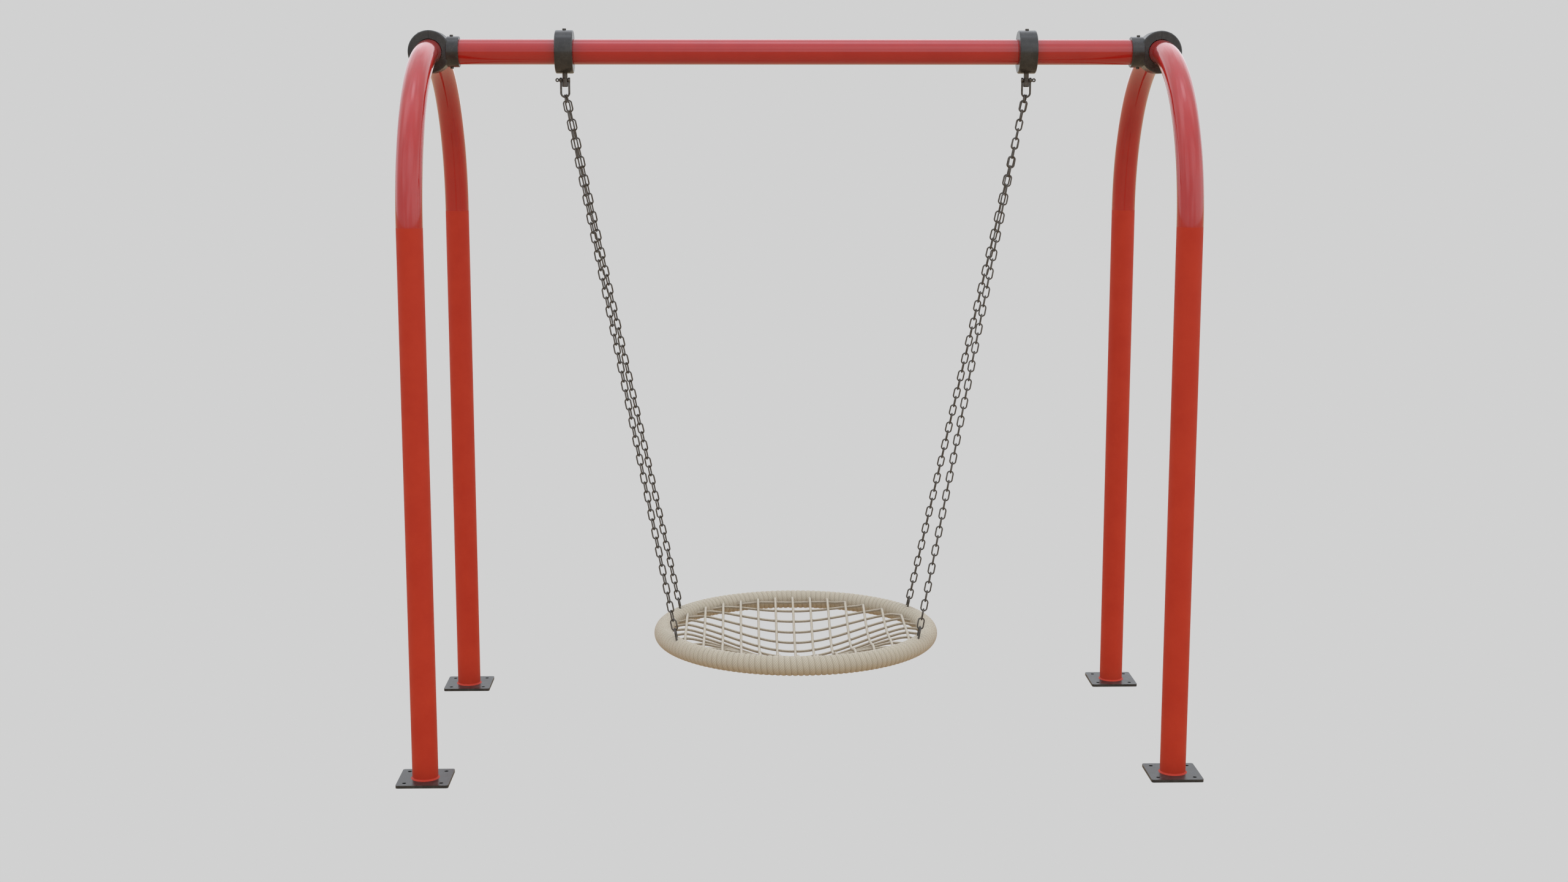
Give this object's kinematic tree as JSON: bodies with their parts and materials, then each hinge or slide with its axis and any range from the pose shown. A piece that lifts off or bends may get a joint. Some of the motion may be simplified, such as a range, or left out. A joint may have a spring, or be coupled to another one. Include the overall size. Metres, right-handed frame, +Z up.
{
  "type": "nest swing set",
  "caption": "Round rope nest seat hung by link chains and shackles under a tubular frame with arched ends; it swings front to back and sways a little sideways.",
  "frame": {"origin": "on the ground, midway between the four feet", "axes": "+X along the top beam, -Y towards the front, +Z up"},
  "size_m": [2.78, 1.36, 2.5765],
  "materials": {
    "red_paint": "gloss",
    "dark_plate": "satin gloss",
    "dark_fitting": "gloss",
    "screw_steel": "satin",
    "shackle_steel": "satin",
    "bush_bronze": "satin",
    "chain_steel": "dull",
    "seat_steel": "dull",
    "rim_rope": "matte",
    "net_rope_light": "matte",
    "net_rope_dark": "matte"
  },
  "bodies": {
    "frame": {"front_left_foot_plate": "dark_plate", "front_left_leg": "red_paint", "front_right_foot_plate": "dark_plate", "front_right_leg": "red_paint", "left_arch_tube": "red_paint", "left_collar_set_screw": "screw_steel", "left_hanger_bolt": "shackle_steel", "left_hanger_collar": "dark_fitting", "left_pin_bush": "bush_bronze", "left_tee_body": "dark_fitting", "left_tee_cap": "dark_fitting", "left_tee_cap_screws": "screw_steel", "left_tee_set_screws": "screw_steel", "rear_left_foot_plate": "dark_plate", "rear_left_leg": "red_paint", "rear_right_foot_plate": "dark_plate", "rear_right_leg": "red_paint", "right_arch_tube": "red_paint", "right_collar_set_screw": "screw_steel", "right_hanger_bolt": "shackle_steel", "right_hanger_collar": "dark_fitting", "right_pin_bush": "bush_bronze", "right_tee_body": "dark_fitting", "right_tee_cap": "dark_fitting", "right_tee_cap_screws": "screw_steel", "right_tee_set_screws": "screw_steel", "top_beam": "red_paint"},
    "left_shackle": {"left_shackle_bow": "shackle_steel", "left_shackle_pin": "shackle_steel"},
    "right_shackle": {"right_shackle_bow": "shackle_steel", "right_shackle_pin": "shackle_steel"},
    "left_chains": {"front_left_chain": "chain_steel", "rear_left_chain": "chain_steel"},
    "right_chains": {"front_right_chain": "chain_steel", "rear_right_chain": "chain_steel"},
    "seat": {"front_left_lug": "seat_steel", "front_right_lug": "seat_steel", "rear_left_lug": "seat_steel", "rear_right_lug": "seat_steel", "seat_core_ring": "seat_steel", "rim_winding": "rim_rope", "net_lengthwise_ropes": "net_rope_light", "net_crosswise_ropes": "net_rope_dark"}
  },
  "joints": [
    {"name": "left_shackle_swing", "type": "hinge", "parent": "frame", "child": "left_shackle", "pos_m": [-0.825, 0, 2.396], "axis": [1, 0, 0], "range_deg": [-60, 60]},
    {"name": "right_shackle_swing", "type": "hinge", "parent": "frame", "child": "right_shackle", "pos_m": [0.825, 0, 2.396], "axis": [1, 0, 0], "range_deg": [-60, 60]},
    {"name": "left_chain_sway", "type": "hinge", "parent": "left_shackle", "child": "left_chains", "pos_m": [-0.825, 0, 2.351], "axis": [0, 1, 0], "range_deg": [-3, 3]},
    {"name": "right_chain_sway", "type": "hinge", "parent": "right_shackle", "child": "right_chains", "pos_m": [0.825, 0, 2.351], "axis": [0, 1, 0], "range_deg": [-3, 3]},
    {"name": "seat_tilt", "type": "hinge", "parent": "left_chains", "child": "seat", "pos_m": [-0.44421, 0, 0.44086], "axis": [0, 1, 0], "range_deg": [-5.6, 5.6]}
  ],
  "couplings": [
    {"joint": "right_shackle_swing", "follows": "left_shackle_swing", "ratio": 1},
    {"joint": "right_chain_sway", "follows": "left_chain_sway", "ratio": 1},
    {"joint": "seat_tilt", "follows": "left_chain_sway", "ratio": -1.8572}
  ]
}
